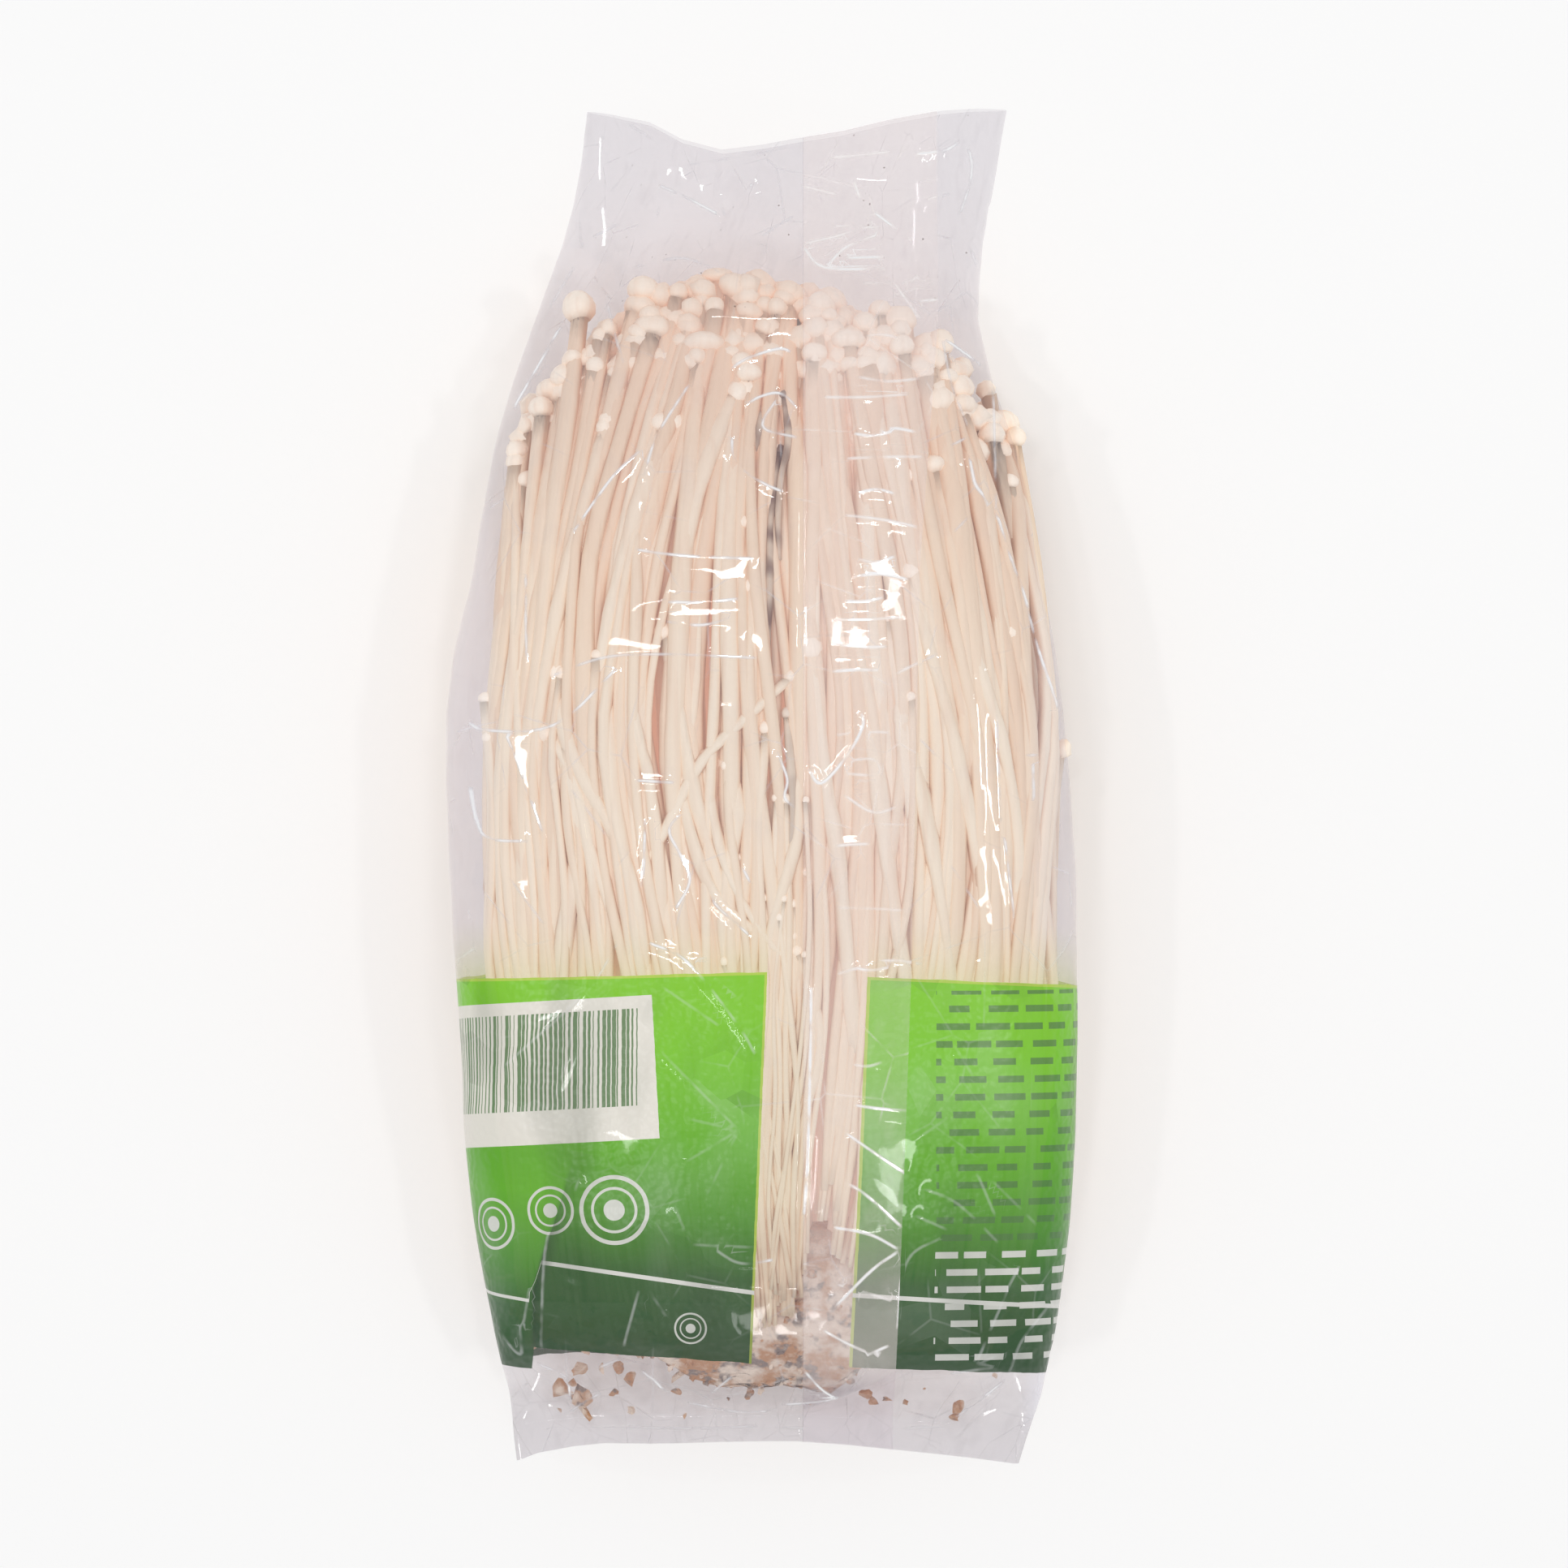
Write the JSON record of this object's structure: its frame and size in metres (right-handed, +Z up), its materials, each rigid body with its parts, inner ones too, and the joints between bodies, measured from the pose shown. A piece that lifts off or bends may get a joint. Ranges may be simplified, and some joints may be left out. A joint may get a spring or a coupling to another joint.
{
  "type": "enoki mushroom bunch",
  "caption": "Bunch of thin pale mushrooms with small caps, grown from one root clump and packed in a clear film bag with a plain green band. It lies on its underside.",
  "frame": {"origin": "on the surface it lies on, under the middle of the bag", "axes": "+Y from the roots to the bag's mouth, +Z up, +X to the right with the seam flap on top"},
  "size_m": [0.1005, 0.2186, 0.0349],
  "materials": {
    "film": "gloss",
    "mushroom_flesh": "satin",
    "growing_medium": "matte"
  },
  "bodies": {
    "root": {"film_bag": "film", "seam_flap": "film", "root_clump": "growing_medium", "tuft_01": "mushroom_flesh", "tuft_02": "mushroom_flesh", "tuft_03": "mushroom_flesh", "tuft_04": "mushroom_flesh", "tuft_05": "mushroom_flesh", "tuft_06": "mushroom_flesh", "tuft_07": "mushroom_flesh", "tuft_08": "mushroom_flesh", "tuft_09": "mushroom_flesh", "tuft_10": "mushroom_flesh", "tuft_11": "mushroom_flesh", "tuft_12": "mushroom_flesh", "tuft_13": "mushroom_flesh", "tuft_14": "mushroom_flesh", "tuft_15": "mushroom_flesh", "tuft_16": "mushroom_flesh", "tuft_17": "mushroom_flesh", "tuft_18": "mushroom_flesh", "tuft_19": "mushroom_flesh", "tuft_20": "mushroom_flesh", "tuft_21": "mushroom_flesh", "tuft_22": "mushroom_flesh", "tuft_23": "mushroom_flesh", "tuft_24": "mushroom_flesh", "tuft_25": "mushroom_flesh", "tuft_26": "mushroom_flesh", "tuft_27": "mushroom_flesh", "tuft_28": "mushroom_flesh", "tuft_29": "mushroom_flesh", "tuft_30": "mushroom_flesh", "tuft_31": "mushroom_flesh", "tuft_32": "mushroom_flesh", "tuft_33": "mushroom_flesh", "tuft_34": "mushroom_flesh", "tuft_35": "mushroom_flesh", "tuft_36": "mushroom_flesh", "tuft_37": "mushroom_flesh", "tuft_38": "mushroom_flesh", "tuft_39": "mushroom_flesh", "tuft_40": "mushroom_flesh", "tuft_41": "mushroom_flesh", "crumb_1": "growing_medium", "crumb_2": "growing_medium", "crumb_3": "growing_medium", "crumb_4": "growing_medium", "crumb_5": "growing_medium", "crumb_6": "growing_medium", "crumb_7": "growing_medium", "crumb_8": "growing_medium"}
  },
  "joints": []
}
